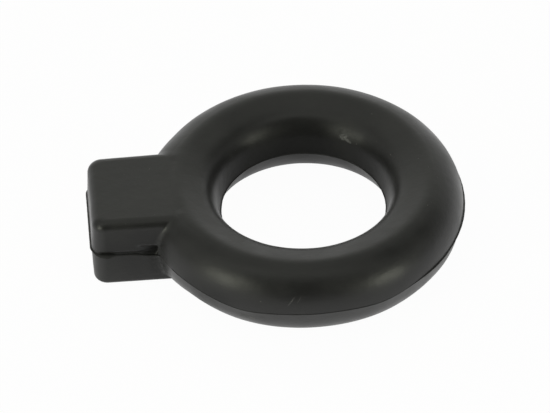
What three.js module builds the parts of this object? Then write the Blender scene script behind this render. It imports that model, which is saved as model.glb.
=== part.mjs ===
// Rubber exhaust hanger, moulded in one piece: a round ring with a block on its rim.
// Millimetres, +Z up. The hanger lies flat on Z = 0 with its block along -X.
// The two mould halves met at the parting plane, half way up the ring, and left a thin
// flash there that runs round the ring, round the block and inside the hole.

import * as THREE from 'three';
import { LoftGeometry } from 'three/addons/geometries/LoftGeometry.js';

// Ring
const RING_DIAMETER = 62; // outside, at the parting plane
const SECTION_WIDTH = 14.6;
const SECTION_HEIGHT = 15.9;

// Block
const BLOCK_LENGTH = 10.4; // from the ring's outside to the block's end face
const BLOCK_WIDTH = 20.4; // across the end face
const BLOCK_TAPER = 0.76; // degrees that each side leans in towards the end face
const TOP_STEP = 0.25; // the ring's crown stands this far above the block's top
const BOTTOM_STEP = 0.05; // the block's underside clears the surface by this much
const CORNER_RADIUS = 3; // upright corners
const TIGHTEST_CORNER = 0.5; // least corner radius that the edge rounding leaves
const EDGE_RADIUS = 1.5; // round the top and the underside
const JUNCTION_RADIUS = 1.6; // hollow corner between the block's side and the ring

// Mould flash
const FLASH_ROOT = 0.9; // thickness where it leaves the wall
const FLASH_TIP = 0.3; // thickness at the trimmed edge
const RING_FLASH = 0.4; // how far it stands out of the ring
const BLOCK_FLASH = 0.75; // how far it stands out of the block
const HOLE_FLASH = 0.25; // how far it stands into the hole

// Rubber
const RUBBER_COLOUR = 0x2e2e2b;
const RUBBER_ROUGHNESS = 0.5;

// Fineness of the surface
const RING_STEPS = 32; // round half of the ring
const JUNCTION_STEPS = 3;
const SIDE_STEPS = 2;
const CORNER_STEPS = 3;
const END_STEPS = 2;
const WALL_LEVELS = 4;
const EDGE_LEVELS = 3;
const HOLE_LEVELS = 6;

// Sizes that follow
const ringRadius = RING_DIAMETER / 2;
const halfWidth = SECTION_WIDTH / 2;
const halfHeight = SECTION_HEIGHT / 2;
const crownRadius = ringRadius - halfWidth;
const blockReach = ringRadius + BLOCK_LENGTH;
const taper = THREE.MathUtils.degToRad(BLOCK_TAPER);
const quarterTurn = Math.PI / 2;
const ringCentreX = (blockReach + BLOCK_FLASH - ringRadius - RING_FLASH) / 2;

// Half the width of the ring's oval section at a height above or below the parting plane
function sectionHalfWidth(height) {
  return halfWidth * Math.sqrt(1 - (height / halfHeight) ** 2);
}

// Height of the ring's surface at a distance from the ring's axis
function sectionHeight(radius) {
  return halfHeight * Math.sqrt(1 - ((radius - crownRadius) / halfWidth) ** 2);
}

function arc(centre, radius, start, end, steps) {
  const clockwise = end < start;
  return new THREE.EllipseCurve(centre.x, centre.y, radius, radius, start, end, clockwise).getPoints(steps);
}

// Half of the hanger's outline in plan, with x towards the block and y to its side.
// It runs from the far side of the ring to the middle of the block's end face.
// The block's faces stand out by blockOffset, or in where that is negative.
function halfOutline(radius, blockOffset) {
  const sideNormal = new THREE.Vector2(Math.sin(taper), Math.cos(taper));
  const sideAlong = new THREE.Vector2(Math.cos(taper), -Math.sin(taper));
  const sideDistance = sideNormal.dot(new THREE.Vector2(blockReach, BLOCK_WIDTH / 2)) + blockOffset;
  const reach = blockReach + blockOffset;

  const junctionReach = radius + JUNCTION_RADIUS;
  const junctionSide = sideDistance + JUNCTION_RADIUS;
  const junction = sideAlong.clone().multiplyScalar(Math.sqrt(junctionReach ** 2 - junctionSide ** 2));
  junction.addScaledVector(sideNormal, junctionSide);

  const cornerRadius = Math.max(CORNER_RADIUS + blockOffset, TIGHTEST_CORNER);
  const cornerX = reach - cornerRadius;
  const cornerY = (sideDistance - cornerRadius - sideNormal.x * cornerX) / sideNormal.y;
  const corner = new THREE.Vector2(cornerX, cornerY);

  const ringArc = arc(new THREE.Vector2(), radius, Math.PI, junction.angle(), RING_STEPS);
  const junctionStart = junction.angle() + Math.PI;
  const junctionEnd = sideNormal.angle() + Math.PI;
  const junctionArc = arc(junction, JUNCTION_RADIUS, junctionStart, junctionEnd, JUNCTION_STEPS);
  const cornerArc = arc(corner, cornerRadius, sideNormal.angle(), 0, CORNER_STEPS);
  const side = new THREE.LineCurve(junctionArc.at(-1), cornerArc[0]).getPoints(SIDE_STEPS);
  const end = new THREE.LineCurve(cornerArc.at(-1), new THREE.Vector2(reach, 0)).getPoints(END_STEPS);
  return [ringArc, junctionArc, side, cornerArc, end].flatMap((piece, i) => piece.slice(i === 0 ? 0 : 1));
}

// The whole outline in plan, the half and its mirror image
function outline(radius, blockOffset) {
  const half = halfOutline(radius, blockOffset);
  const mirrored = half.slice(1, -1).reverse().map((point) => new THREE.Vector2(point.x, -point.y));
  return [...half, ...mirrored];
}

function circle(radius, angles) {
  return angles.map((angle) => new THREE.Vector2(Math.cos(angle), Math.sin(angle)).multiplyScalar(radius));
}

// A row of points at one height from the parting plane
function row(plan, height) {
  return plan.map((point) => new THREE.Vector3(point.x, point.y, height));
}

// Rows up the outside of one mould half, from the flash to the rim of the block's face
function outsideRows(face) {
  const flashTip = row(outline(ringRadius + RING_FLASH, BLOCK_FLASH), FLASH_TIP / 2);
  const rows = [flashTip];
  const wallTop = face - EDGE_RADIUS;
  for (let i = 0; i <= WALL_LEVELS; i += 1) {
    const height = THREE.MathUtils.lerp(FLASH_ROOT / 2, wallTop, i / WALL_LEVELS);
    rows.push(row(outline(crownRadius + sectionHalfWidth(height), 0), height));
  }
  for (let i = 1; i <= EDGE_LEVELS; i += 1) {
    const turn = (quarterTurn * i) / EDGE_LEVELS;
    const height = wallTop + EDGE_RADIUS * Math.sin(turn);
    const inset = EDGE_RADIUS * (1 - Math.cos(turn));
    rows.push(row(outline(crownRadius + sectionHalfWidth(height), -inset), height));
  }
  return rows;
}

// Row where the block's flat face meets the foot of the ring's crown
function footRow(rim, face) {
  const footRadius = crownRadius + sectionHalfWidth(face);
  return rim.map((point) => {
    const rimRadius = Math.hypot(point.x, point.y);
    const radius = Math.min(footRadius, (rimRadius + crownRadius) / 2);
    const height = Math.max(face, sectionHeight(radius));
    return new THREE.Vector3(point.x, point.y, 0).setLength(radius).setZ(height);
  });
}

// Rows from the crown down the hole's wall to the flash
function holeRows(angles) {
  const lastTurn = quarterTurn - Math.asin(FLASH_ROOT / SECTION_HEIGHT);
  const rows = [];
  for (let i = 0; i <= HOLE_LEVELS; i += 1) {
    const turn = (lastTurn * i) / HOLE_LEVELS;
    const radius = crownRadius - halfWidth * Math.sin(turn);
    rows.push(row(circle(radius, angles), halfHeight * Math.cos(turn)));
  }
  rows.push(row(circle(crownRadius - halfWidth - HOLE_FLASH, angles), FLASH_TIP / 2));
  return rows;
}

// All rows of one mould half, over the top from the outer flash to the hole's flash
function mouldHalf(step, angles) {
  const face = halfHeight - step;
  const outside = outsideRows(face);
  return [...outside, footRow(outside.at(-1), face), ...holeRows(angles)];
}

function flipped(rows) {
  return rows.map((points) => points.map((point) => new THREE.Vector3(point.x, point.y, -point.z)));
}

function hangerGeometry() {
  const angles = outline(ringRadius, 0).map((point) => point.angle());
  const lower = flipped(mouldHalf(BOTTOM_STEP, angles));
  const upper = mouldHalf(TOP_STEP, angles).reverse();
  const geometry = new LoftGeometry([...lower, ...upper, lower[0]]);
  return geometry.rotateZ(Math.PI);
}

const rubber = new THREE.MeshStandardMaterial({
  color: RUBBER_COLOUR,
  roughness: RUBBER_ROUGHNESS,
  metalness: 0,
});

const hanger = new THREE.Mesh(hangerGeometry(), rubber);
hanger.name = 'rubber_hanger';
hanger.position.set(ringCentreX, 0, halfHeight);

const group = new THREE.Group();
group.add(hanger);

export default group;
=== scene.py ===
"""Moulded rubber exhaust hanger: its skin, its mould flash, its dust and its studio, on the fixed frame."""

import logging
import math
from dataclasses import dataclass, fields
from enum import Enum, unique

import bpy
from mathutils import Matrix, Vector


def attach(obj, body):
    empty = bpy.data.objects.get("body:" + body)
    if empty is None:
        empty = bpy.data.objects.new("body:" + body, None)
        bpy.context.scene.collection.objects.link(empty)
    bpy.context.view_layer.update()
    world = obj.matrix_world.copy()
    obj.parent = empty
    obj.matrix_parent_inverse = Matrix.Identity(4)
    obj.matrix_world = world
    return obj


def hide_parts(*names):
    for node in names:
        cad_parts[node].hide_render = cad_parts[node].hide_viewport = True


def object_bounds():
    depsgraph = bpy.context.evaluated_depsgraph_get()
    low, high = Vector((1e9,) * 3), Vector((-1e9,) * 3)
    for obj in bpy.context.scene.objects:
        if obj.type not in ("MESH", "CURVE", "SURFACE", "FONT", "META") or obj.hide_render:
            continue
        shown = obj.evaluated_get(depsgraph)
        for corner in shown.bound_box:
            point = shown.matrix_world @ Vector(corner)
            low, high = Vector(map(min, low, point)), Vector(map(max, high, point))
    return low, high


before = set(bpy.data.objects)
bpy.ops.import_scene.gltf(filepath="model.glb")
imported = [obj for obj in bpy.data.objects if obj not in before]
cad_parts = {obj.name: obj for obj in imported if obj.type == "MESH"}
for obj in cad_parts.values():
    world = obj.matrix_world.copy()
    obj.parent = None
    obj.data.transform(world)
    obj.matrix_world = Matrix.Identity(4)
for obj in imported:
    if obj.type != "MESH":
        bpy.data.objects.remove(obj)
cad_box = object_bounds()

LOG = logging.getLogger("exhaust_hanger")
MM = 0.001
NODE = "rubber_hanger"
BODY = "root"
PHOTO_WIDTH_PX = 550
SENSOR_WIDTH_MM = 36.0
WHITE = (1.0, 1.0, 1.0, 1.0)
BLACK = (0.0, 0.0, 0.0, 1.0)
RING_FLASH = 0.4 * MM  # how far the flash stands out of the ring in the solid
HEIGHT_MARGIN = 0.05 * MM  # how far the skin stays inside the solid's height, above and below
SEAM = 0.001 * MM  # points closer than this are joined where a bent sheet's sides meet

Number = float | int


class Wire:
    """A value that flows between nodes, with its arithmetic written as Python."""

    def __init__(self, graph: "Graph", socket: bpy.types.NodeSocket) -> None:
        """Wraps an output socket.

        Args:
            graph: The tree that the socket belongs to.
            socket: The output socket.
        """
        self.graph = graph
        self.socket = socket

    def math(self, operation: str, *others: "Wire | Number") -> "Wire":
        """Feeds this value and others to a Math node.

        Args:
            operation: The Math node's operation.
            others: The second and third values, where it takes them.

        Returns:
            The result.
        """
        return self.graph.node("ShaderNodeMath", {"operation": operation}, dict(enumerate((self, *others))))

    def vector(self, operation: str, *others: "Wire | tuple", output: int | str = 0) -> "Wire":
        """Feeds this vector and others to a Vector Math node.

        Args:
            operation: The Vector Math node's operation.
            others: The other vectors.
            output: The output to take, such as Value for a length.

        Returns:
            The result.
        """
        sockets = dict(enumerate((self, *others)))
        return self.graph.node("ShaderNodeVectorMath", {"operation": operation}, sockets, output)

    def __add__(self, other: "Wire | Number") -> "Wire":
        """The sum."""
        return self.math("ADD", other)

    def __radd__(self, other: Number) -> "Wire":
        """The sum, with a plain number first."""
        return self.math("ADD", other)

    def __sub__(self, other: "Wire | Number") -> "Wire":
        """The difference."""
        return self.math("SUBTRACT", other)

    def __rsub__(self, other: Number) -> "Wire":
        """The difference, with a plain number first."""
        return self.graph.node("ShaderNodeMath", {"operation": "SUBTRACT"}, {0: other, 1: self})

    def __mul__(self, other: "Wire | Number") -> "Wire":
        """The product."""
        return self.math("MULTIPLY", other)

    def __rmul__(self, other: Number) -> "Wire":
        """The product, with a plain number first."""
        return self.math("MULTIPLY", other)

    def __truediv__(self, other: "Wire | Number") -> "Wire":
        """The quotient."""
        return self.math("DIVIDE", other)

    def __rtruediv__(self, other: Number) -> "Wire":
        """The quotient, with a plain number first."""
        return self.graph.node("ShaderNodeMath", {"operation": "DIVIDE"}, {0: other, 1: self})

    def __neg__(self) -> "Wire":
        """The negative."""
        return self.math("MULTIPLY", -1.0)

    def __abs__(self) -> "Wire":
        """The value without its sign."""
        return self.math("ABSOLUTE")

    def __lt__(self, other: "Wire | Number") -> "Wire":
        """1 where this value is the smaller, else 0."""
        return self.math("LESS_THAN", other)

    def __gt__(self, other: "Wire | Number") -> "Wire":
        """1 where this value is the larger, else 0."""
        return self.math("GREATER_THAN", other)

    def square(self) -> "Wire":
        """The value times itself."""
        return self * self

    def root(self) -> "Wire":
        """The square root, taken as 0 below 0."""
        return self.math("MAXIMUM", 0.0).math("SQRT")

    def clamp(self) -> "Wire":
        """The value held between 0 and 1."""
        return self.math("MAXIMUM", 0.0).math("MINIMUM", 1.0)

    def ease(self) -> "Wire":
        """The value held between 0 and 1, with a soft start and end."""
        share = self.clamp()
        return share.square() * (3.0 - 2.0 * share)

    def toward(self, other: "Wire | Number", share: "Wire") -> "Wire":
        """The value that lies a share of the way to another."""
        return self + (other - self) * share

    def bell(self, middle: Number, width: Number) -> "Wire":
        """1 at middle, fading to 0 within about twice the width on both sides."""
        return (-((self - middle) / width).square()).math("EXPONENT")


class Graph:
    """A node tree that is being built."""

    def __init__(self, tree: bpy.types.NodeTree) -> None:
        """Starts on an empty tree.

        Args:
            tree: The node tree.
        """
        self.tree = tree

    def node(
        self,
        kind: str,
        settings: dict | None = None,
        sockets: dict | None = None,
        output: int | str = 0,
    ) -> Wire:
        """Adds a node, sets it up and feeds it.

        Args:
            kind: The node's type.
            settings: Its own properties. stops are a colour ramp's (place, colour) pairs.
            sockets: What its inputs get, by name or place: a Wire or a plain value.
            output: The output to take.

        Returns:
            That output, or an empty wire where the node has none.
        """
        node = self.tree.nodes.new(kind)
        for name, value in (settings or {}).items():
            if name == "stops":
                self.set_stops(node.color_ramp, value)
            else:
                setattr(node, name, value)
        for name, value in (sockets or {}).items():
            if isinstance(value, Wire):
                self.tree.links.new(value.socket, node.inputs[name])
            else:
                node.inputs[name].default_value = value
        return Wire(self, node.outputs[output] if len(node.outputs) else None)

    @staticmethod
    def set_stops(ramp: bpy.types.ColorRamp, stops: list[tuple[float, tuple]]) -> None:
        """Sets a colour ramp's stops.

        Args:
            ramp: The ramp.
            stops: Its (place, colour) pairs, from left to right.
        """
        while len(ramp.elements) < len(stops):
            ramp.elements.new(1.0)
        for element, (place, colour) in zip(ramp.elements, stops):
            element.position = place
            element.color = colour

    def noise(self, place: Wire, size: float, detail: float = 2.0, roughness: float = 0.5) -> Wire:
        """Smooth noise from 0 to 1 with an average near a half.

        Args:
            place: The point to look it up at.
            size: The size of its blotches, in metres.
            detail: How many finer layers it has.
            roughness: How strong they are.

        Returns:
            The noise.
        """
        sockets = {"Vector": place, "Scale": 1.0 / size, "Detail": detail, "Roughness": roughness}
        return self.node("ShaderNodeTexNoise", {"noise_dimensions": "3D"}, sockets)

    def split(self, vector: Wire) -> list[Wire]:
        """A vector's three parts."""
        first = self.node("ShaderNodeSeparateXYZ", None, {0: vector})
        return [Wire(self, part) for part in first.socket.node.outputs]

    def join(self, x: Wire | Number, y: Wire | Number, z: Wire | Number) -> Wire:
        """A vector from its three parts."""
        return self.node("ShaderNodeCombineXYZ", None, {0: x, 1: y, 2: z})


def add_object(name: str, data: bpy.types.ID) -> bpy.types.Object:
    """Puts a new object into the scene.

    Args:
        name: Its name.
        data: Its mesh, camera or lamp.

    Returns:
        The object.
    """
    item = bpy.data.objects.new(name, data)
    bpy.context.collection.objects.link(item)
    return item


def emptied(owner: bpy.types.Material | bpy.types.World) -> Graph:
    """Empties the node tree of a new material or world.

    Args:
        owner: The material or world.

    Returns:
        Its tree.
    """
    owner.use_nodes = True
    owner.node_tree.nodes.clear()
    return Graph(owner.node_tree)


def bearing(azimuth: float, elevation: float) -> Vector:
    """The direction that lies some degrees round from +Y towards +X, and some above level."""
    around, up = math.radians(azimuth), math.radians(elevation)
    return Vector((math.sin(around) * math.cos(up), math.cos(around) * math.cos(up), math.sin(up)))


def stood(place: Vector, back: Vector) -> Matrix:
    """The placement of a camera or lamp whose back points in a direction."""
    return Matrix.Translation(place) @ back.to_track_quat("Z", "Y").to_matrix().to_4x4()


def labelled(owner: object, names: list[str]) -> dict[str, float]:
    """An object's sizes under the labels of a tree's inputs, such as Ring radius for ring_radius."""
    return {name.replace("_", " ").capitalize(): getattr(owner, name) for name in names}


class Maker(Graph):
    """A Geometry Nodes tree with named sizes, and the plain mesh that it makes."""

    def __init__(self, name: str, sizes: dict[str, float]) -> None:
        """Starts a tree whose named inputs are the sizes.

        Args:
            name: The name of the tree and of the piece.
            sizes: Each input's name and value.
        """
        super().__init__(bpy.data.node_groups.new(name, "GeometryNodeTree"))
        self.name = name
        face = self.tree.interface
        face.new_socket(name="Geometry", in_out="INPUT", socket_type="NodeSocketGeometry")
        face.new_socket(name="Geometry", in_out="OUTPUT", socket_type="NodeSocketGeometry")
        self.values = {}
        for label, value in sizes.items():
            item = face.new_socket(name=label, in_out="INPUT", socket_type="NodeSocketFloat")
            self.values[item.identifier] = value
        self.group_input = self.tree.nodes.new("NodeGroupInput")

    def size(self, label: str) -> Wire:
        """A named input."""
        return Wire(self, self.group_input.outputs[label])

    def smooth(self, geometry: Wire) -> Wire:
        """The same mesh, shaded smooth."""
        return self.node("GeometryNodeSetShadeSmooth", None, {"Geometry": geometry})

    def bend(self, columns: int, rows: int, point: tuple[Wire, Wire, Wire], flipped: bool) -> Wire:
        """Bends a flat sheet to a formula and closes its seams.

        Args:
            columns: The sheet's faces along x, which counts the skin's columns.
            rows: The sheet's faces along y, which counts these rows.
            point: Where its points go: x towards the block, y to its side and z, from the ring's middle.
            flipped: Whether its faces have to be turned round to point outwards.

        Returns:
            The closed mesh.
        """
        sheet = self.node(
            "GeometryNodeMeshGrid",
            None,
            {
                "Size X": 2.0 * HALF_COLUMNS,
                "Size Y": float(rows),
                "Vertices X": columns + 1,
                "Vertices Y": rows + 1,
            },
        )
        x, y, z = point
        place = self.join(self.size("Ring x") - x, y, z + self.size("Middle"))
        bent = self.node("GeometryNodeSetPosition", None, {"Geometry": sheet, "Position": place})
        closed = self.node("GeometryNodeMergeByDistance", None, {"Geometry": bent, "Distance": SEAM})
        return self.node("GeometryNodeFlipFaces", None, {"Mesh": closed}) if flipped else closed

    def make(
        self,
        geometry: Wire,
        material: bpy.types.Material,
        base: bpy.types.Mesh | None = None,
    ) -> bpy.types.Object:
        """Ends the tree, runs it and keeps the mesh that it gives.

        Args:
            geometry: What the tree has built.
            material: The material of the whole piece.
            base: The mesh that the tree starts from, if it needs one.

        Returns:
            A plain object at the origin, with no modifier.
        """
        real = self.node("GeometryNodeRealizeInstances", None, {"Geometry": geometry})
        dressed = self.node("GeometryNodeSetMaterial", None, {"Geometry": real, "Material": material})
        end = self.tree.nodes.new("NodeGroupOutput")
        self.tree.links.new(dressed.socket, end.inputs["Geometry"])
        piece = add_object(self.name, base or bpy.data.meshes.new(self.name))
        modifier = piece.modifiers.new(self.name, "NODES")
        modifier.node_group = self.tree
        for identifier, value in self.values.items():
            modifier[identifier] = value
        seen = piece.evaluated_get(bpy.context.evaluated_depsgraph_get())
        mesh = bpy.data.meshes.new_from_object(seen)
        piece.modifiers.clear()
        piece.data = mesh
        mesh.name = self.name
        return piece


@unique
class Half(Enum):
    """Stretches of half of the skin's outline, from the ring's far side, with their columns."""

    RING = 168
    JUNCTION = 10
    SIDE = 14
    CORNER = 16
    END = 12


@unique
class Climb(Enum):
    """Stretches of half of the section, from the outer flash over the top, with their rows."""

    WALL = 34
    FACE = 26
    HOLE = 44


HALF_COLUMNS = sum(stretch.value for stretch in Half)
HALF_ROWS = sum(stretch.value for stretch in Climb)
JUNCTION_START = Half.RING.value
SIDE_START = JUNCTION_START + Half.JUNCTION.value
CORNER_START = SIDE_START + Half.SIDE.value
END_START = CORNER_START + Half.CORNER.value


def shares(place: Wire, stretches: type[Enum]) -> dict[Enum, Wire]:
    """How far along each stretch a column or row lies.

    Args:
        place: Columns or rows from the first stretch's start.
        stretches: The stretches.

    Returns:
        The share of each stretch, from 0 to 1.
    """
    parts, start = {}, 0
    for stretch in stretches:
        parts[stretch] = ((place - start) / stretch.value).clamp()
        start += stretch.value
    return parts


def between(ends: tuple[float, float], share: Wire) -> Wire:
    """The value that lies a share of the way from one end to the other."""
    return share * (ends[1] - ends[0]) + ends[0]


@dataclass(frozen=True)
class Fade:
    """A stretch over which something sets in. Along the outline it is counted in columns.

    Attributes:
        start: Where it starts. Columns are counted from the ring's far side.
        length: How long it is.
    """

    start: float
    length: float

    def plain(self, place: Wire) -> Wire:
        """How much has set in at a place, along a straight line."""
        return ((place - self.start) / self.length).clamp()

    def soft(self, place: Wire) -> Wire:
        """How much has set in at a place, with a soft start and end."""
        return ((place - self.start) / self.length).ease()


@dataclass(frozen=True)
class Hump:
    """Something that rises and falls smoothly along the outline.

    Attributes:
        middle: The column where it is highest, from the ring's far side.
        width: Columns from there to where about a third of it is left.
        height: Its height in the middle.
    """

    middle: float
    width: float
    height: float = 1.0

    def at(self, place: Wire) -> Wire:
        """Its height at a column."""
        return place.bell(self.middle, self.width) * self.height


@dataclass(frozen=True)
class Sizes:
    """The hanger's sizes, in metres and radians.

    Attributes:
        ring_radius: From the ring's axis to its outside, without flash.
        half_width: Half the width of the ring's oval section.
        block_reach: From the ring's axis to the block's end face, without flash.
        block_half_width: Half the block's width at its end face.
        side_lean: How far each side of the block leans in towards the end.
        top_step: The crown stands this far above the block's top.
        bottom_step: The block's underside lies this far above the ring's lowest circle.
        corner_radius: Radius of the block's upright corners.
        tightest_corner: The least corner radius that the edge rounding leaves.
        edge_radius: Radius round the block's top.
        under_edge_radius: Radius round the block's underside.
        junction_radius: Radius of the hollow corner between the block's side and the ring.
        end_skew: How far the end face leans towards the front, as a slope.
        draft: How much the block's walls lean in away from the flash, as a slope.
        upper_kink: How much the ring's upper half leans in at the flash, as a slope.
        under_kink: How much the ring's lower half leans in at the flash.
        hole_lean: Height above the middle below which the hole's wall runs straight to the flash.
        hole_shift: How far the hole is out of the ring's middle, towards the block.
        hole_drop: How far the flash in the hole lies below the one outside.
        hole_width: Half the width of the oval on the hole's side.
        facet_slope: Slope of the flat band on the hole's side of the crown.
        facet_ridge: Radius of the ridge that the band starts from.
        facet_blend: How softly the band runs into the oval.
        notch_depth: How deep the flash tore into the wall beside the block.
        notch_height: How far up the wall that tear reaches.
        groove_depth: How deep the flash tore into the rest of the block's front side.
        groove_height: How far up that groove reaches.
        flash_sag: How far the flash hangs below the middle where it hangs low.
        fullness: How much squarer the ring's section is beside the block.
    """

    ring_radius: float = 31.0 * MM
    half_width: float = 7.3 * MM
    block_reach: float = 41.7 * MM
    block_half_width: float = 10.45 * MM
    side_lean: float = math.radians(0.76)
    top_step: float = 0.25 * MM
    bottom_step: float = 0.05 * MM
    corner_radius: float = 3.0 * MM
    tightest_corner: float = 0.5 * MM
    edge_radius: float = 1.9 * MM
    under_edge_radius: float = 1.1 * MM
    junction_radius: float = 1.6 * MM
    end_skew: float = 0.015
    draft: float = 0.038
    upper_kink: float = 0.04
    under_kink: float = 0.29
    hole_lean: float = 2.2 * MM
    hole_shift: float = 0.06 * MM
    hole_drop: float = 1.0 * MM
    hole_width: float = 7.1 * MM
    facet_slope: float = 0.29
    facet_ridge: float = 24.2 * MM
    facet_blend: float = 0.6 * MM
    notch_depth: float = 1.2 * MM
    notch_height: float = 2.2 * MM
    groove_depth: float = 0.5 * MM
    groove_height: float = 0.75 * MM
    flash_sag: float = 0.6 * MM
    fullness: float = 0.55

    @property
    def middle(self) -> float:
        """Height of the plane where the mould halves met."""
        return (cad_box[0][2] + cad_box[1][2]) / 2

    @property
    def half_height(self) -> float:
        """Half the height of the skin, less what its unevenness adds."""
        return self.middle - cad_box[0][2] - HEIGHT_MARGIN

    @property
    def ring_x(self) -> float:
        """Where the ring's axis stands, from the far side of the solid."""
        return cad_box[1][0] - RING_FLASH - self.ring_radius

    @property
    def crown_radius(self) -> float:
        """Radius of the crown's circle."""
        return self.ring_radius - self.half_width

    def inputs(self) -> dict[str, float]:
        """The named inputs of a tree that follows the outline."""
        names = [field.name for field in fields(self)]
        return labelled(self, names + ["crown_radius", "half_height", "ring_x", "middle"])

    def on_ring(self, azimuth: float, turn: float) -> Vector:
        """A point of the ring's surface.

        Args:
            azimuth: Degrees round the ring, from +X towards +Y.
            turn: Degrees round the section, from the outside over the crown to the hole.

        Returns:
            The point, in the row frame.
        """
        around, over = math.radians(azimuth), math.radians(turn)
        radius = self.crown_radius + self.half_width * math.cos(over)
        height = self.middle + self.half_height * math.sin(over)
        return Vector((self.ring_x + radius * math.cos(around), radius * math.sin(around), height))


class Outline:
    """The hanger's outline in plan as a formula of nodes: ring, hollow corner, side, corner and end.

    Attributes:
        SAGS: Where the flash hangs low: at the front left, at the front right and beside the block.
        FULLEST: Where the ring's lower half is fullest, at the front right.
    """

    SAGS = (Hump(126.0, 14.0, 1.4), Hump(70.0, 11.0), Hump(177.0, 5.0, 1.05))
    FULLEST = Hump(31.0, 11.0)

    def __init__(self, maker: Maker) -> None:
        """Takes the tree that the formula goes into.

        Args:
            maker: A tree with the inputs of Sizes.
        """
        self.maker = maker

    @staticmethod
    def arc(middle: tuple, radius: Wire, start: Wire | Number, turn: Wire) -> tuple[Wire, Wire]:
        """A point of an arc.

        Args:
            middle: The x and y of the arc's centre.
            radius: Its radius.
            start: The angle that the arc starts at.
            turn: How far round it the point lies.

        Returns:
            The point's x and y.
        """
        angle = turn + start
        return radius * angle.math("COSINE") + middle[0], radius * angle.math("SINE") + middle[1]

    def point(self, column: Wire, radius: Wire, offset: Wire) -> tuple[Wire, Wire]:
        """A point of the outline, x towards the block and y to its side.

        Args:
            column: 0 at the middle of the block's end face, plus or minus HALF_COLUMNS at the far side.
            radius: The ring's radius at this level.
            offset: How far the block's faces stand out, or in where it is negative.

        Returns:
            The point's x and y, from the ring's axis.
        """
        size = self.maker.size
        lean = size("Side lean")
        across, along = lean.math("SINE"), lean.math("COSINE")
        wall = across * size("Block reach") + along * size("Block half width") + offset
        hollow = size("Junction radius")
        hollow_side = wall + hollow
        hollow_reach = ((radius + hollow).square() - hollow_side.square()).root()
        hollow_x = along * hollow_reach + across * hollow_side
        hollow_y = along * hollow_side - across * hollow_reach
        meeting = hollow_y.math("ARCTAN2", hollow_x)

        corner = (size("Corner radius") + offset).math("MAXIMUM", size("Tightest corner"))
        reach = size("Block reach") + offset
        corner_x = reach - corner
        corner_y = (wall - corner - across * corner_x) / along

        place = HALF_COLUMNS - abs(column)
        part = shares(place, Half)
        side_x, side_y = hollow_x - across * hollow, hollow_y - along * hollow
        turned_x, turned_y = corner_x + across * corner, corner_y + along * corner
        hollow_turn = (1.5 * math.pi - lean - meeting - math.pi) * part[Half.JUNCTION]
        corner_turn = (0.5 * math.pi - lean) * (1.0 - part[Half.CORNER])
        stretches = {
            JUNCTION_START: self.arc((hollow_x, hollow_y), hollow, meeting + math.pi, hollow_turn),
            SIDE_START: (side_x.toward(turned_x, part[Half.SIDE]), side_y.toward(turned_y, part[Half.SIDE])),
            CORNER_START: self.arc((corner_x, corner_y), corner, 0.0, corner_turn),
            END_START: (reach, corner_y * (1.0 - part[Half.END])),
        }
        x, y = self.arc((0.0, 0.0), radius, math.pi, (meeting - math.pi) * part[Half.RING])
        for start, (next_x, next_y) in stretches.items():
            there = place > start
            x, y = x.toward(next_x, there), y.toward(next_y, there)
        y = y * column.math("SIGN")
        return x - y * size("End skew") * Fade(SIDE_START, Half.SIDE.value).soft(place), y

    @classmethod
    def full(cls, column: Wire) -> Wire:
        """How full the ring's lower half is, 1 where it is fullest and 0 along most of the outline."""
        return cls.FULLEST.at(HALF_COLUMNS - abs(column)) * (column < 0.0)

    def sag(self, column: Wire) -> Wire:
        """How far the flash hangs below the middle, which it does at three places along the front."""
        left, right, beside = (hump.at(HALF_COLUMNS - abs(column)) for hump in self.SAGS)
        return (left + right + beside) * (column < 0.0) * self.maker.size("Flash sag")


@dataclass(frozen=True)
class Scuff:
    """A mark that handling left on the rubber, or a dull spot where its strength is 0.

    Attributes:
        azimuth: Degrees round the ring, from +X towards +Y.
        turn: Degrees round the section.
        heading: Degrees from level to the mark's long direction.
        length: Half its length, in metres.
        width: Half its width, in metres.
        strength: How much paler than the rubber it is.
        dulling: How much rougher it is.
    """

    azimuth: float
    turn: float
    heading: float
    length: float
    width: float
    strength: float
    dulling: float = 0.2


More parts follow.
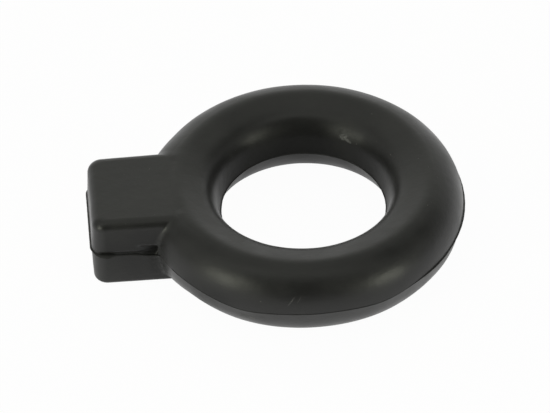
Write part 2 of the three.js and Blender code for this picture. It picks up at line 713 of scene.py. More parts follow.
@dataclass(frozen=True)
class RubberFinish:
    """Black moulded rubber with a dull satin skin.

    Attributes:
        dark: Colour of the deep patches.
        plain: Colour of most of the skin.
        bloomed: Colour where wax has bloomed on it.
        scuffed: Colour of a scuff.
        tone_stops: Where on the way from deep to bloomed each of these three colours is reached.
        patch_share: How much the patches count in the colour.
        bloom_share: How much the bloom counts.
        streak_share: How much the streaks count.
        smooth: Roughness of the glossiest patches.
        dull: Roughness of the dullest patches.
        dulling: Where between the patches' lows and highs the dull roughness sets in.
        ior: Index of refraction.
        sheen: How strongly it shines at a grazing angle.
        sheen_roughness: How wide that shine spreads.
        patch: Size of the patches, in metres.
        bloom: Size of the bloom's blotches, in metres.
        bloom_shift: Keeps the bloom's pattern apart from the patches'.
        streak: Width of the streaks, in metres.
        streak_squeeze: How much flatter than long the streaks are, as a scale of each axis.
        streak_depth: Depth of the streaks, in metres.
        grain: Size of the mould's grain, in metres.
        grain_depth: Depth of the grain, in metres.
        ripple: Size of the skin's slight ripples, in metres.
        ripple_shift: Keeps the ripples' pattern apart from the patches'.
        ripple_depth: Depth of the ripples, in metres.
        scuff_relief: How far a full scuff's torn skin stands up, in metres.
        fray: Size of the raggedness of a scuff, as a multiple of its half width.
        widest_fray: The half width past which the raggedness grows no larger, in metres.
        fray_floor: The noise below which a scuff leaves the skin whole.
        fray_gain: How quickly a scuff gets full above that.
    """

    dark: tuple = (0.0098, 0.0098, 0.0095, 1.0)
    plain: tuple = (0.0135, 0.0135, 0.0130, 1.0)
    bloomed: tuple = (0.021, 0.0212, 0.0192, 1.0)
    scuffed: tuple = (0.22, 0.22, 0.21, 1.0)
    tone_stops: tuple = (0.3, 0.52, 0.75)
    patch_share: float = 0.55
    bloom_share: float = 0.3
    streak_share: float = 0.15
    smooth: float = 0.32
    dull: float = 0.48
    dulling: Fade = Fade(0.3, 1.0 / 2.2)
    ior: float = 1.42
    sheen: float = 0.08
    sheen_roughness: float = 0.35
    patch: float = 7.0 * MM
    bloom: float = 11.9 * MM
    bloom_shift: tuple = (0.31, 0.17, 0.05)
    streak: float = 1.4 * MM
    streak_squeeze: tuple = (1.0, 1.0, 5.0)
    streak_depth: float = 0.015 * MM
    grain: float = 0.35 * MM
    grain_depth: float = 0.01 * MM
    ripple: float = 3.2 * MM
    ripple_shift: tuple = (0.07, 0.43, 0.21)
    ripple_depth: float = 0.05 * MM
    scuff_relief: float = 0.08 * MM
    fray: float = 1.3
    widest_fray: float = 0.5 * MM
    fray_floor: float = 0.35
    fray_gain: float = 4.0

    def material(
        self,
        name: str,
        scuffs: tuple[Scuff, ...] = (),
        sizes: Sizes | None = None,
    ) -> bpy.types.Material:
        """Builds the material.

        Args:
            name: The material's name.
            scuffs: The marks on it.
            sizes: The hanger's sizes, which place the marks.

        Returns:
            The material.
        """
        material = bpy.data.materials.new(name)
        graph = emptied(material)
        place = graph.node("ShaderNodeTexCoord", output="Object")
        patches = graph.noise(place, self.patch, detail=4.0, roughness=0.55)
        bloom = graph.noise(place.vector("ADD", self.bloom_shift), self.bloom, detail=5.0, roughness=0.6)
        squeezed = place.vector("MULTIPLY", self.streak_squeeze)
        streaks = graph.noise(squeezed, self.streak, detail=3.0, roughness=0.6)
        grain = graph.noise(place, self.grain)
        ripple = graph.noise(place.vector("ADD", self.ripple_shift), self.ripple)
        stops = list(zip(self.tone_stops, (self.dark, self.plain, self.bloomed)))
        tone = patches * self.patch_share + bloom * self.bloom_share + streaks * self.streak_share
        colour = graph.node("ShaderNodeValToRGB", {"stops": stops}, {0: tone})
        roughness = self.smooth + (self.dull - self.smooth) * self.dulling.plain(patches)
        height = grain * self.grain_depth + streaks * self.streak_depth + ripple * self.ripple_depth
        for scuff in scuffs:
            mark = self.mark(graph, place, scuff, sizes)
            colour = self.blend(graph, colour, mark * scuff.strength)
            roughness = roughness + mark * scuff.dulling
            height = height + mark * (self.scuff_relief * scuff.strength)
        normal = graph.node("ShaderNodeBump", None, {"Height": height, "Strength": 1.0, "Distance": 1.0})
        skin = graph.node(
            "ShaderNodeBsdfPrincipled",
            None,
            {
                "Base Color": colour,
                "Roughness": roughness,
                "Normal": normal,
                "IOR": self.ior,
                "Sheen Weight": self.sheen,
                "Sheen Roughness": self.sheen_roughness,
            },
        )
        graph.node("ShaderNodeOutputMaterial", None, {"Surface": skin})
        return material

    def blend(self, graph: Graph, colour: Wire, marks: Wire) -> Wire:
        """The rubber's colour with the scuffs on it."""
        sockets = {0: marks, 6: colour, 7: self.scuffed}
        return graph.node("ShaderNodeMix", {"data_type": "RGBA"}, sockets, 2)

    def mark(self, graph: Graph, place: Wire, scuff: Scuff, sizes: Sizes) -> Wire:
        """Where a scuff is: a ragged streak on the ring's surface.

        Args:
            graph: The material's tree.
            place: The point on the object.
            scuff: The mark.
            sizes: The hanger's sizes.

        Returns:
            Its strength, from 0 to 1.
        """
        step = 0.5  # degrees, to find the surface's directions with
        middle = sizes.on_ring(scuff.azimuth, scuff.turn)
        level = (sizes.on_ring(scuff.azimuth + step, scuff.turn) - middle).normalized()
        rise = (sizes.on_ring(scuff.azimuth, scuff.turn + step) - middle).normalized()
        heading = math.radians(scuff.heading)
        along = level * math.cos(heading) + rise * math.sin(heading)
        across = rise * math.cos(heading) - level * math.sin(heading)
        away = level.cross(rise)
        offset = place.vector("SUBTRACT", tuple(middle))
        distance = 0.0
        for direction, reach in ((along, scuff.length), (across, scuff.width), (away, scuff.length)):
            part = offset.vector("DOT_PRODUCT", tuple(direction), output="Value") / reach
            distance = part.square() + distance
        fray = min(scuff.width, self.widest_fray) * self.fray
        ragged = graph.noise(place, fray, detail=3.0, roughness=0.7)
        return ((1.0 - distance).clamp() * (ragged - self.fray_floor).clamp() * self.fray_gain).clamp()


@dataclass
class HangerSkin:
    """The moulded body: an oval section swept round the ring, and the block that grows from its rim.

    Attributes:
        sizes: The hanger's sizes.
        blend: How softly the block's faces run into the crown, in metres.
        squarest: The column where the ring's section is squarest.
        reach: Columns over which the section grows squarer towards that one.
        unevenness: How far the skin wanders from its true shape, in metres.
        wander: The size of that wandering, in metres.
        kink_eased: The share of the lower half's kink that is missing where that half is fullest.
        facet_spread: How much softer the flat band gets towards the hole's flash.
        hole_power: Power of the oval on the hole's side.
        under_hole_power: How much that power grows on the lower half, away from the flash.
        tear_start: Where the tear and the groove set in, beside the block.
        notch_end: Where the tear runs out.
        groove_end: Where the groove runs out.
        tear_edge: Height over which both run out upwards, in metres.
    """

    sizes: Sizes
    blend: float = 0.35 * MM
    squarest: float = JUNCTION_START + 4.0
    reach: float = 20.0
    unevenness: float = 0.05 * MM
    wander: float = 9.0 * MM
    kink_eased: float = 0.7
    facet_spread: float = 2.0
    hole_power: float = 2.12
    under_hole_power: float = 0.2
    tear_start: Fade = Fade(JUNCTION_START + 4.5, 3.0)
    notch_end: Fade = Fade(SIDE_START + 0.7, 4.5)
    groove_end: Fade = Fade(CORNER_START + 1.0, 6.0)
    tear_edge: float = 0.3 * MM

    def build(self, material: bpy.types.Material) -> bpy.types.Object:
        """Makes the skin's mesh.

        Args:
            material: Its material.

        Returns:
            The piece.
        """
        maker = Maker("hanger_skin", self.sizes.inputs() | labelled(self, ["unevenness"]))
        closed = maker.bend(2 * HALF_COLUMNS, 2 * HALF_ROWS, self.surface(maker), flipped=True)
        position = maker.node("GeometryNodeInputPosition")
        outward = maker.node("GeometryNodeInputNormal")
        swell = (maker.noise(position, self.wander) - 0.5) * 2.0 * maker.size("Unevenness")
        offset = outward.vector("MULTIPLY", maker.join(swell, swell, swell))
        uneven = maker.node("GeometryNodeSetPosition", None, {"Geometry": closed, "Offset": offset})
        return maker.make(maker.smooth(uneven), material)

    def surface(self, maker: Maker) -> tuple[Wire, Wire, Wire]:
        """The skin's formula.

        Args:
            maker: The tree.

        Returns:
            x towards the block, y to its side and z, from the ring's middle.
        """
        size = maker.size
        column, row, _ = maker.split(maker.node("GeometryNodeInputPosition"))
        upper = row > 0.0
        climb = shares(abs(row), Climb)
        face = size("Half height") - size("Bottom step").toward(size("Top step"), upper)
        edge = size("Under edge radius").toward(size("Edge radius"), upper)
        face_turn = (face / size("Half height")).math("ARCSINE")
        level = (climb[Climb.WALL] * face_turn).math("SINE") * size("Half height")
        rise = (level - face + edge).math("MAXIMUM", 0.0)
        inset = edge - (edge.square() - rise.square()).root()
        power = self.power(maker, column)
        under_kink = size("Under kink") * (1.0 - self.kink_eased * Outline.full(column))
        kink = under_kink.toward(size("Upper kink"), upper)
        width = size("Half width") * self.walled(level / size("Half height"), power, kink)
        notch = self.notch(maker, column, level) * upper
        wall = size("Crown radius") + width - notch
        x, y = Outline(maker).point(column, wall, -inset - level * size("Draft") - notch)

        over = climb[Climb.FACE]
        in_hole = climb[Climb.HOLE] > 0.0
        drop_turn = (size("Hole drop") / size("Half height")).math("ARCSINE") * row.math("SIGN")
        hole_turn = climb[Climb.HOLE] * (drop_turn + 0.5 * math.pi)
        rim = (x.square() + y.square()).root()
        radius = rim.toward(size("Crown radius"), over)
        hole_width = self.holed(maker, hole_turn, upper)
        foot_x, foot_y = Outline(maker).point(column, size("Ring radius"), column * 0.0)
        foot = (foot_x.square() + foot_y.square()).root()
        shift = size("Hole shift") * (hole_width / size("Hole width")) * (foot_x / foot)
        radius = radius.toward(size("Crown radius") - hole_width + shift, in_hole)
        outer_share = (radius - size("Crown radius")).math("MAXIMUM", 0.0) / size("Half width")
        on_top = self.oval(outer_share, power) * size("Half height")
        # Four times a share times the rest is 1 half way, and 0 at both ends.
        blend = over * (1.0 - over) * (4.0 * self.blend)
        on_top = on_top.math("SMOOTH_MAX", face, blend)
        inward = on_top.toward(hole_turn.math("COSINE") * size("Half height"), in_hole)
        facet = size("Half height") - size("Facet slope") * (size("Facet ridge") - radius)
        facet_blend = size("Facet blend") * (1.0 + self.facet_spread * climb[Climb.HOLE])
        height = level.toward(inward.math("SMOOTH_MIN", facet, facet_blend), over > 0.0)
        along, aside = (x / rim).toward(foot_x / foot, over), (y / rim).toward(foot_y / foot, over)
        scale = radius / (along.square() + aside.square()).root()
        sag = Outline(maker).sag(column) * (1.0 - climb[Climb.WALL]).square()
        return along * scale, aside * scale, height * row.math("SIGN") - sag

    def holed(self, maker: Maker, turn: Wire, upper: Wire) -> Wire:
        """The section's width on the hole's side.

        Args:
            maker: The tree.
            turn: How far the point lies round the oval from the crown, in radians.
            upper: 1 on the upper mould half.

        Returns:
            The width.
        """
        size = maker.size
        share = abs(turn.math("COSINE"))
        below = size("Hole drop") / size("Half height")
        past = ((share - below) / (1.0 - below)).clamp()
        bend = size("Hole width") / size("Half height").square() * 0.5
        short = (size("Hole lean") - turn.math("COSINE") * size("Half height")).math("MAXIMUM", 0.0)
        at_flash = (size("Hole lean") + size("Hole drop")).square() * (1.0 - past) * (1.0 - past).square()
        oval = self.oval(share, past * (1.0 - upper) * self.under_hole_power + self.hole_power)
        return size("Hole width") * oval + bend * at_flash.toward(short.square(), upper)

    def notch(self, maker: Maker, column: Wire, level: Wire) -> Wire:
        """How deep the tear beside the block and the groove that runs on from it are.

        Args:
            maker: The tree.
            column: The column.
            level: The height above the flash.

        Returns:
            The depth of the deeper one.
        """
        place = HALF_COLUMNS - abs(column)
        cuts = []
        for name, end in (("Notch", self.notch_end), ("Groove", self.groove_end)):
            along = self.tear_start.plain(place) * (1.0 - end.plain(place))
            low = ((maker.size(f"{name} height") - level) / self.tear_edge).clamp()
            cuts.append(maker.size(f"{name} depth") * along * low)
        notch, groove = cuts
        return notch.math("MAXIMUM", groove) * (level > 0.0) * (column < 0.0)

    def power(self, maker: Maker, column: Wire) -> Wire:
        """The power of the section's oval: 2, as in an ellipse, and larger beside the block."""
        beside = 1.0 - (abs(HALF_COLUMNS - abs(column) - self.squarest) / self.reach).ease()
        return beside * maker.size("Fullness") + 2.0

    def walled(self, share: Wire, power: Wire, kink: Wire) -> Wire:
        """The section's width, as a share of the half width.

        Args:
            share: The height, as a share of the half height.
            power: The power of the oval.
            kink: How much the wall leans at the flash.

        Returns:
            The share.
        """
        return self.oval(share, power) - share * (1.0 - share).square() * kink

    @staticmethod
    def oval(share: Wire, power: Wire) -> Wire:
        """An oval's width where its height is a share of the whole, or the other way round."""
        rest = 1.0 - share.math("POWER", power)
        return rest.math("MAXIMUM", 0.0).math("POWER", 1.0 / power)


class Path(Enum):
    """The two closed paths that the mould flash follows."""

    OUTSIDE = "outer_flash"
    HOLE = "hole_flash"


@dataclass
class MouldFlash:
    """The thin lip that the mould halves left, trimmed by hand, so it is ragged.

    Attributes:
        sizes: The hanger's sizes.
        path: The path that it follows.
        columns_each: Mesh columns for each column of the skin.
        rows: Rows round the lip's section.
        ring_lip: How far it stands out of the ring, in metres.
        block_lip: How far it stands out of the block, in metres.
        hole_lip: How far it stands into the hole, in metres.
        lip_thickness: Half its thickness, in metres.
        corner_fold: How far it stands out where it is folded, at the block's front corner, in metres.
        waviness: How far it wanders up and down, in metres.
        buried: How far its root lies inside the skin, in metres.
        hole_root: How far out of the crown its root in the hole is, in hole widths, without the lean.
        tip_power: How much it thins towards its tip.
        face_power: How flat its faces are.
        ragged_size: Size of its raggedness, in metres.
        wave_size: Size of its waves, in metres.
        wave_shift: Keeps the waves' pattern apart from the raggedness.
        ragged_lift: How much the raggedness moves it up and down, where the waves count 2.
        ring_range: Least and most that raggedness leaves of the lip on the ring.
        block_range: The same on the block.
        hole_range: The same in the hole.
        fold_range: The same at the fold.
        thickness_range: Least and most of its thickness.
        side_share: The share of the block's lip that stands on the block's sides.
        front: Where it gets short along the front.
        front_end: Where that ends.
        back: Where it gets short along the back.
        front_cut: The share of the lip that is missing along the front.
        back_cut: The same along the back.
        full_cut: The same where the ring is fullest.
        front_thinned: The share of its thickness that is missing along the front.
        longest: What stands out further in the middle of the front, as a share of the lip.
        fold: Where the fold sets in.
        fold_end: Where the fold runs out.
        fold_thickness: How much thicker it gets there, as a share of the fold.
        torn: Where it is torn off beside the block, at the front.
        torn_thinned: The share of its thickness that is missing there.
    """

    sizes: Sizes
    path: Path
    columns_each: int = 3
    rows: int = 16
    ring_lip: float = 0.38 * MM
    block_lip: float = 0.31 * MM
    hole_lip: float = 0.15 * MM
    lip_thickness: float = 0.13 * MM
    corner_fold: float = 0.6 * MM
    waviness: float = 0.1 * MM
    buried: float = 0.5 * MM
    hole_root: float = 0.992
    tip_power: float = 1.6
    face_power: float = 1.5
    ragged_size: float = 1.6 * MM
    wave_size: float = 9.0 * MM
    wave_shift: tuple = (0.5, 0.2, 0.1)
    ragged_lift: float = 0.5
    ring_range: tuple = (0.6, 1.0)
    block_range: tuple = (0.8, 1.2)
    hole_range: tuple = (0.4, 1.6)
    fold_range: tuple = (0.7, 1.3)
    thickness_range: tuple = (0.7, 1.3)
    side_share: float = 0.45
    front: Fade = Fade(40.0, 20.0)
    front_end: Fade = Fade(154.0, 12.0)
    back: Fade = Fade(18.0, 2.0)
    front_cut: float = 0.82
    back_cut: float = 0.9
    full_cut: float = 0.3
    front_thinned: float = 0.6
    longest: Hump = Hump(98.0, 20.0, 0.16)
    fold: Fade = Fade(CORNER_START - 3.0, 3.0)
    fold_end: Fade = Fade(CORNER_START + 2.0, 9.0)
    fold_thickness: float = 0.3
    torn: Hump = Hump(JUNCTION_START - 4.0, 5.5, 1.6)
    torn_thinned: float = 0.8

    def inputs(self) -> dict[str, float]:
        """The lip's own sizes, beside the outline's."""
        own = ["ring_lip", "block_lip", "hole_lip", "lip_thickness", "corner_fold", "waviness", "buried"]
        return self.sizes.inputs() | labelled(self, own)

    def build(self, material: bpy.types.Material) -> bpy.types.Object:
        """Makes the lip's mesh.

        Args:
            material: Its material.

        Returns:
            The piece.
        """
        maker = Maker(self.path.value, self.inputs())
        columns = 2 * HALF_COLUMNS * self.columns_each
        closed = maker.bend(columns, self.rows, self.surface(maker), flipped=self.path is Path.OUTSIDE)
        return maker.make(maker.smooth(closed), material)

    def surface(self, maker: Maker) -> tuple[Wire, Wire, Wire]:
        """The lip's formula.

        Args:
            maker: The tree.

        Returns:
            x towards the block, y to its side and z, from the ring's middle.
        """
        size = maker.size
        column, row, _ = maker.split(maker.node("GeometryNodeInputPosition"))
        zero = column * 0.0
        if self.path is Path.HOLE:
            bend = (size("Hole lean") + size("Hole drop")).square() / size("Half height").square() * 0.5
            root = size("Crown radius") - size("Hole width") * (bend + self.hole_root)
            foot_x, foot_y = self.circle(column, root)
        else:
            foot_x, foot_y = Outline(maker).point(column, size("Ring radius"), zero)
        width, thickness, lift = self.trim(maker, column, maker.join(foot_x, foot_y, zero))
        turn = row * (2.0 * math.pi / self.rows)
        out, up = turn.math("COSINE"), turn.math("SINE")
        outward = out.math("MAXIMUM", 0.0).math("POWER", self.tip_power) * width
        reach = outward + out.math("MINIMUM", 0.0) * size("Buried")
        height = abs(up).math("POWER", self.face_power) * up.math("SIGN") * thickness + lift
        if self.path is Path.HOLE:
            x, y = self.circle(column, root - reach)
            x = x + size("Hole shift")
        else:
            x, y = Outline(maker).point(column, size("Ring radius") + reach, reach)
        return x, y, height

    @staticmethod
    def circle(column: Wire, radius: Wire) -> tuple[Wire, Wire]:
        """A point of a circle, with column 0 towards the block."""
        angle = column * (math.pi / HALF_COLUMNS)
        return radius * angle.math("COSINE"), radius * angle.math("SINE")

    def trim(self, maker: Maker, column: Wire, spot: Wire) -> tuple[Wire, Wire, Wire]:
        """How the lip was left at each place.

        Args:
            maker: The tree.
            column: The column.
            spot: The point of the path.

        Returns:
            Its width, half its thickness, and how far it wanders up.
        """
        size = maker.size
        ragged = maker.noise(spot, self.ragged_size, detail=3.0, roughness=0.6)
        slow = maker.noise(spot.vector("ADD", self.wave_shift), self.wave_size, detail=1.0)
        thickness = size("Lip thickness") * between(self.thickness_range, slow)
        lift = ((slow - 0.5) * 2.0 + (ragged - 0.5) * self.ragged_lift) * size("Waviness")
        if self.path is Path.HOLE:
            return size("Hole lip") * between(self.hole_range, ragged), thickness, lift - size("Hole drop")
        place = HALF_COLUMNS - abs(column)
        at_front = column < 0.0
        along_front = self.front.soft(place) * (1.0 - self.front_end.soft(place)) * at_front
        along_back = self.back.soft(place) * (1.0 - at_front)
        cut = self.front_cut * along_front + self.back_cut * along_back + self.full_cut * Outline.full(column)
        left = 1.0 - cut + self.longest.at(place) * at_front
        on_ring = size("Ring lip") * between(self.ring_range, ragged) * left
        at_end = Fade(CORNER_START, Half.CORNER.value).soft(place)
        on_side = between((self.side_share, 1.0), at_end)
        on_block = size("Block lip") * between(self.block_range, ragged) * on_side
        width = on_ring.toward(on_block, Fade(JUNCTION_START, Half.JUNCTION.value).soft(place))
        folded = self.fold.soft(place) * (1.0 - self.fold_end.soft(place)) * at_front
        fold = size("Corner fold") * folded * between(self.fold_range, ragged)
        torn = self.torn.at(place).clamp() * at_front
        thickness = thickness * (1.0 - self.front_thinned * along_front) + fold * self.fold_thickness
        thickness = thickness * (1.0 - self.torn_thinned * torn)
        return width * (1.0 - torn) + fold, thickness, lift - Outline(maker).sag(column)


@dataclass(frozen=True)
class DustFinish:
    """Pale specks of dust and mould powder.

    Attributes:
        pale: Colour of the palest specks.
        grey: Colour of the darkest.
        blotch: How far apart pale and grey ones lie, in metres.
        stops: The noise up to which they are grey, and from which they are pale.
        roughness: Their roughness.
    """

    pale: tuple = (0.32, 0.32, 0.3, 1.0)
    grey: tuple = (0.15, 0.15, 0.14, 1.0)
    blotch: float = 0.8 * MM
    stops: tuple = (0.3, 0.7)
    roughness: float = 0.8

    def material(self) -> bpy.types.Material:
        """Builds the material.

        Returns:
            The material.
        """
        material = bpy.data.materials.new("dust")
        graph = emptied(material)
        shade = graph.noise(graph.node("ShaderNodeTexCoord", output="Object"), self.blotch)
        stops = list(zip(self.stops, (self.grey, self.pale)))
        colour = graph.node("ShaderNodeValToRGB", {"stops": stops}, {0: shade})
        sockets = {"Base Color": colour, "Roughness": self.roughness}
        skin = graph.node("ShaderNodeBsdfPrincipled", None, sockets)
        graph.node("ShaderNodeOutputMaterial", None, {"Surface": skin})
        return material


@dataclass
class Dust:
    """Specks that cling to the skin.

    Attributes:
        density: Specks to the square metre.
        smallest: Radius of the smallest, in metres.
        largest: Radius of the largest, in metres.
        breadth: A speck's breadth, as a share of its length.
        height: Its height, as a share of its length.
        seed: Seed of the scatter.
    """

    density: float = 9000.0
    smallest: float = 0.03 * MM
    largest: float = 0.09 * MM
    breadth: float = 0.7
    height: float = 0.5
    seed: int = 7

    def build(self, skin: bpy.types.Mesh, material: bpy.types.Material) -> bpy.types.Object:
        """Scatters the specks over the skin.

        Args:
            skin: The mesh that they lie on.
            material: Their material.

        Returns:
            The piece.
        """
        maker = Maker("dust_specks", labelled(self, ["density", "smallest", "largest"]))
        surface = Wire(maker, maker.group_input.outputs["Geometry"])
        points = maker.node(
            "GeometryNodeDistributePointsOnFaces",
            {"distribute_method": "RANDOM"},
            {"Mesh": surface, "Density": maker.size("Density"), "Seed": self.seed},
        )
        turned = Wire(maker, points.socket.node.outputs["Rotation"])
        speck = maker.node("GeometryNodeMeshIcoSphere", None, {"Radius": 1.0, "Subdivisions": 1})
        drawn = {"Min": 0.0, "Max": 1.0, "Seed": self.seed + 1}
        spread = maker.node("FunctionNodeRandomValue", {"data_type": "FLOAT"}, drawn, output=1)
        # The fourth power leaves most specks near the smallest.
        radius = maker.size("Smallest").toward(maker.size("Largest"), spread.square().square())
        scale = maker.join(radius, radius * self.breadth, radius * self.height)
        placed = maker.node(
            "GeometryNodeInstanceOnPoints",
            None,
            {"Points": points, "Instance": speck, "Rotation": turned, "Scale": scale},
        )
        return maker.make(placed, material, skin.copy())


@dataclass(frozen=True)
class Camera:
    """The photograph's camera.

    Attributes:
        aim: The point in the middle of the picture, from the solid's middle, in metres.
        distance: From that point to the camera, in metres.
        azimuth: Degrees round from -Y towards +X.
        elevation: Degrees above level.
        roll: Degrees that the camera leans clockwise.
        focal_px: Focal length, in pixels of the photograph.
        farthest: How far the camera sees, in metres.
    """

    aim: tuple = (-0.21 * MM, 0.28 * MM, -0.1 * MM)
    distance: float = 1.5
    azimuth: float = -3.84
    elevation: float = 42.4
    roll: float = 1.6
    focal_px: float = 7733.0
    farthest: float = 20.0

    def back(self, elevation: float) -> Vector:
        """The direction from the object to the camera's side, at an elevation in degrees."""
        return bearing(180.0 - self.azimuth, elevation)

    def build(self) -> None:
        """Places the camera and makes it the scene's."""
        data = bpy.data.cameras.new("camera")
        data.sensor_fit = "HORIZONTAL"
        data.sensor_width = SENSOR_WIDTH_MM
        data.lens = self.focal_px * SENSOR_WIDTH_MM / PHOTO_WIDTH_PX
        data.clip_end = self.farthest
        camera = add_object("camera", data)
        back = self.back(self.elevation)
        middle = (Vector(cad_box[0]) + Vector(cad_box[1])) / 2
        roll = Matrix.Rotation(math.radians(-self.roll), 4, "Z")
        camera.matrix_world = stood(middle + Vector(self.aim) + back * self.distance, back) @ roll
        bpy.context.scene.camera = camera


@dataclass(frozen=True)
class Lamp:
    """A soft lamp beside the camera.

    Attributes:
        name: Its name.
        azimuth: Degrees round from the far side, seen from the camera.
        elevation: Degrees above level.
        power: In watts.
        size: Its width and height, in metres.
        colour: The colour of its light.
        distance: From the object, in metres.
    """

    name: str
    azimuth: float
    elevation: float
    power: float
    size: tuple[float, float]
    colour: tuple = (0.98, 1.0, 0.84)
    distance: float = 0.9

    def build(self, camera: Camera) -> None:
        """Places the lamp.

        Args:
            camera: The photograph's camera, which its azimuth is counted from.
        """
        data = bpy.data.lights.new(self.name, "AREA")
        data.shape = "RECTANGLE"
        data.size, data.size_y = self.size
        data.energy = self.power
        data.color = self.colour
        toward = bearing(self.azimuth - camera.azimuth, self.elevation)
        add_object(self.name, data).matrix_world = stood(toward * self.distance, toward)


@dataclass(frozen=True)
class Patch:
    """A soft round patch of the tent that is brighter or duller than the rest.

    Attributes:
        azimuth: Where its middle is, in degrees round from the far side, seen from the camera.
        elevation: Its middle's height above level, in degrees.
        spread: Degrees from its middle to its edge.
        gain: How much brighter its middle is, as a share, or duller where it is negative.
    """

    azimuth: float
    elevation: float
    spread: float
    gain: float

    def share(self, direction: Wire, camera: Camera) -> Wire:
        """How much of the patch a direction has.

        Args:
            direction: The direction that is looked in.
            camera: The photograph's camera, which the azimuth is counted from.

        Returns:
            1 in the patch's middle and 0 beyond its edge.
        """
        middle = tuple(bearing(self.azimuth - camera.azimuth, self.elevation))
        edge = math.cos(math.radians(self.spread))
        return Fade(edge, 1.0 - edge).soft(direction.vector("DOT_PRODUCT", middle, output="Value"))


@dataclass(frozen=True)
class FloorShade:
    """Painted shade on the white floor where the rubber reflects it, near the ring and the block that keep
    light off it.

    Attributes:
        middle: How white it shows in the middle of the hole.
        in_hole: How much whiter it gets from there to the ring.
        outside: How much whiter it gets past the ring.
        near_ring: Where between the ring's axis and the ring it gets whiter, in metres.
        past_ring: Where it gets whiter under the ring and past it.
        block_side: The place beside the block that is dullest, from the ring's axis.
        by_block: Where it gets whiter, from that place.
        block_dulling: How much darker the painted shade is at that place, as a share.
    """

    middle: float = 0.25
    in_hole: float = 0.5
    outside: float = 0.25
    near_ring: Fade = Fade(9.0 * MM, 9.0 * MM)
    past_ring: Fade = Fade(15.0 * MM, 17.0 * MM)
    block_side: tuple = (-33.0 * MM, -24.0 * MM, 0.0)
    by_block: Fade = Fade(6.0 * MM, 10.0 * MM)
    block_dulling: float = 0.42

    def white(self, graph: Graph, ring_x: float) -> Wire:
        """How white the floor shows in the rubber, under the painted shade.

        Args:
            graph: The floor's tree.
            ring_x: Where the ring's axis stands.

        Returns:
            The share of the full white.
        """
        # Painted shade: the floor shows darker towards the hole's middle and beside the block.
        axis = (ring_x, 0.0, 0.0)
        place = graph.node("ShaderNodeTexCoord", output="Object").vector("SUBTRACT", axis)
        away = place.vector("LENGTH", output="Value")
        in_hole = self.in_hole * self.near_ring.soft(away)
        white = self.middle + in_hole + self.outside * self.past_ring.soft(away)
        beside = place.vector("SUBTRACT", self.block_side).vector("LENGTH", output="Value")
        return white * (1.0 - self.block_dulling * (1.0 - self.by_block.soft(beside)))


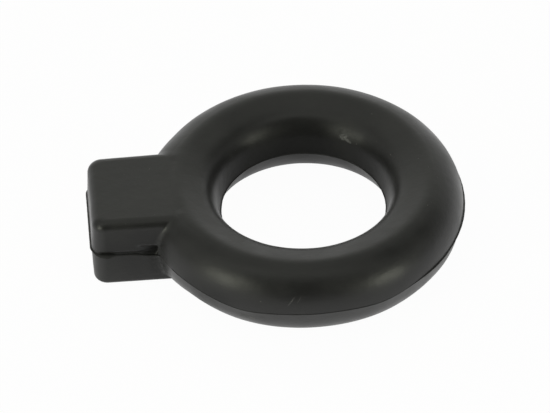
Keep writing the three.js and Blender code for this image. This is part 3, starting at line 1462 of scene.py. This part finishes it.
@dataclass
class Studio:
    """A white light tent with brighter and duller patches, dark towards the camera, and two soft lamps.

    Attributes:
        camera: The photograph's camera.
        ring_x: Where the ring's axis stands.
        floor_size: Width of the floor, in metres.
        floor_grey: How pale the floor is.
        floor_white: How much of the floor's white the camera sees in place of its grey and its shadow.
        floor_clear: The same through a clear thing.
        floor_shade: The painted shade on the floor, as the rubber reflects it.
        overhead: Brightness straight above.
        overhead_tint: Colour of the light from above.
        tint_stop: The height, as the upward part of the direction, from which that colour is full.
        dome_power: How the brightness nears the overhead one with height.
        horizon: Brightness level with the object, at the far side.
        left_flank: Brightness level with the object, at the left.
        right_flank: Brightness level with the object, at the right.
        far_side: Where the far side's brightness sets in, going away from the camera.
        opening: Brightness towards the camera.
        opening_edge: Where that dark opening sets in, going towards the camera.
        lamps: The lamps.
        patches: The patches.
    """

    camera: Camera
    ring_x: float
    floor_size: float = 6.0
    floor_grey: float = 0.9
    floor_white: float = 0.97
    floor_clear: float = 0.9
    floor_shade: FloorShade = FloorShade()
    overhead: float = 0.79
    overhead_tint: tuple = (0.985, 1.0, 0.93, 1.0)
    tint_stop: float = 0.6
    dome_power: float = 1.2
    horizon: float = 1.2
    left_flank: float = 0.43
    right_flank: float = 0.4
    far_side: Fade = Fade(0.35, 0.6)
    opening: float = 0.1
    opening_edge: Fade = Fade(0.25, 0.42)
    lamps: tuple[Lamp, ...] = (
        Lamp("left_lamp", azimuth=-127.0, elevation=15.0, power=2.25, size=(0.24, 0.4)),
        Lamp("right_lamp", azimuth=126.0, elevation=10.0, power=1.6, size=(0.18, 0.32)),
    )
    patches: tuple[Patch, ...] = (
        Patch(azimuth=-130.0, elevation=46.0, spread=36.0, gain=0.85),
        Patch(azimuth=130.0, elevation=50.0, spread=34.0, gain=0.85),
        Patch(azimuth=80.0, elevation=50.0, spread=34.0, gain=-0.85),
        Patch(azimuth=-78.0, elevation=55.0, spread=26.0, gain=-0.35),
    )

    def build(self) -> None:
        """Sets up the floor, the world, the lamps and the picture's colours."""
        self.camera.build()
        self.floor()
        self.world()
        for lamp in self.lamps:
            lamp.build(self.camera)
        bpy.context.scene.view_settings.view_transform = "Standard"

    def floor(self) -> None:
        """A white floor under the object, which keeps its shadow."""
        half = self.floor_size / 2
        corners = [(-half, -half, 0.0), (half, -half, 0.0), (half, half, 0.0), (-half, half, 0.0)]
        mesh = bpy.data.meshes.new("floor")
        mesh.from_pydata(corners, [], [(0, 1, 2, 3)])
        floor = add_object("floor", mesh)
        material = bpy.data.materials.new("floor")
        graph = emptied(material)
        grey = (self.floor_grey, self.floor_grey, self.floor_grey, 1.0)
        matt = graph.node("ShaderNodeBsdfDiffuse", None, {"Color": grey})
        white = graph.node("ShaderNodeEmission", None, {"Color": WHITE, "Strength": 1.0})
        black = graph.node("ShaderNodeBsdfDiffuse", None, {"Color": BLACK})
        camera_ray, glossy_ray, clear_ray = self.seen(graph)
        share = camera_ray * self.floor_white + glossy_ray + clear_ray * self.floor_clear
        lit = graph.node("ShaderNodeMixShader", None, {0: share.clamp(), 1: matt, 2: white})
        # Painted shade: glossy rays see the floor darker near the ring and the block.
        dull = glossy_ray * (1.0 - self.floor_shade.white(graph, self.ring_x))
        shaded = graph.node("ShaderNodeMixShader", None, {0: dull, 1: lit, 2: black})
        graph.node("ShaderNodeOutputMaterial", None, {"Surface": shaded})
        mesh.materials.append(material)

    @staticmethod
    def seen(graph: Graph) -> list[Wire]:
        """Whether a ray comes from the camera, off a glossy surface or through a clear one."""
        outputs = graph.node("ShaderNodeLightPath").socket.node.outputs
        return [Wire(graph, outputs[f"Is {kind} Ray"]) for kind in ("Camera", "Glossy", "Transmission")]

    def world(self) -> None:
        """The tent: bright behind the object, duller overhead and dark towards the camera."""
        world = bpy.data.worlds.new("tent")
        bpy.context.scene.world = world
        graph = emptied(world)
        direction = graph.node("ShaderNodeTexCoord", output="Generated")
        _, _, up = graph.split(direction)
        front = self.camera.back(elevation=0.0)
        facing = direction.vector("DOT_PRODUCT", tuple(front), output="Value")
        aside = direction.vector("DOT_PRODUCT", (-front.y, front.x, 0.0), output="Value")
        flank = (self.right_flank + self.left_flank) / 2
        around = aside * (self.right_flank - flank) + flank
        around = around.toward(self.horizon, self.far_side.soft(-facing))
        tent = around.toward(self.overhead, up.math("MAXIMUM", 0.0).math("POWER", self.dome_power))
        for patch in self.patches:
            tent = tent * (1.0 + patch.gain * patch.share(direction, self.camera))
        camera_ray = self.seen(graph)[0]
        glow = tent.toward(self.opening, self.opening_edge.soft(facing))
        stops = [(0.0, WHITE), (self.tint_stop, self.overhead_tint)]
        tint = graph.node("ShaderNodeValToRGB", {"stops": stops}, {0: up * (1.0 - camera_ray)})
        sockets = {"Color": tint, "Strength": glow.toward(1.0, camera_ray)}
        back = graph.node("ShaderNodeBackground", None, sockets)
        graph.node("ShaderNodeOutputWorld", None, {"Surface": back})


SCUFFS = (
    Scuff(azimuth=-99.5, turn=20.5, heading=55.0, length=1.4 * MM, width=0.18 * MM, strength=0.3),
    Scuff(azimuth=-96.6, turn=24.0, heading=62.0, length=1.0 * MM, width=0.15 * MM, strength=0.16),
    Scuff(azimuth=58.0, turn=152.0, heading=20.0, length=1.2 * MM, width=0.75 * MM, strength=0.8),
    Scuff(azimuth=54.3, turn=155.5, heading=-15.0, length=0.9 * MM, width=0.4 * MM, strength=0.8),
    Scuff(azimuth=-168.0, turn=68.0, heading=0.0, length=0.3 * MM, width=0.25 * MM, strength=0.6),
    Scuff(
        azimuth=-158.5, turn=-12.0, heading=0.0, length=3.5 * MM, width=8.0 * MM, strength=0.0, dulling=0.35
    ),
    Scuff(azimuth=-114.1, turn=-21.7, heading=-40.0, length=0.9 * MM, width=0.45 * MM, strength=0.4),
    Scuff(azimuth=-117.5, turn=-21.0, heading=-10.0, length=3.0 * MM, width=1.1 * MM, strength=0.1),
    Scuff(
        azimuth=57.0, turn=140.0, heading=0.0, length=4.5 * MM, width=3.0 * MM, strength=0.015, dulling=0.12
    ),
)


def report(piece: bpy.types.Object) -> None:
    """Says how large a piece is.

    Args:
        piece: The piece.
    """
    triangles = sum(len(face.vertices) - 2 for face in piece.data.polygons)
    size = " x ".join(f"{side / MM:.1f}" for side in piece.dimensions)
    LOG.info("%s: %d triangles, %s mm", piece.name, triangles, size)


def dress(piece: bpy.types.Object) -> None:
    """Lets a piece ride on the hanger and reports it.

    Args:
        piece: The piece.
    """
    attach(piece, BODY)
    report(piece)


def main() -> None:
    """Builds the hanger's pieces and the studio round them."""
    logging.basicConfig(level=logging.INFO, format="%(name)s: %(message)s")
    sizes = Sizes()
    Studio(Camera(), sizes.ring_x).build()
    rubber = RubberFinish().material("rubber", SCUFFS, sizes)
    flash_rubber = RubberFinish(smooth=0.45, dull=0.6).material("flash_rubber")
    skin = HangerSkin(sizes).build(rubber)
    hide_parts(NODE)
    dress(skin)
    for path in Path:
        dress(MouldFlash(sizes, path).build(flash_rubber))
    dress(Dust().build(skin.data, DustFinish().material()))


if __name__ == "__main__":
    main()
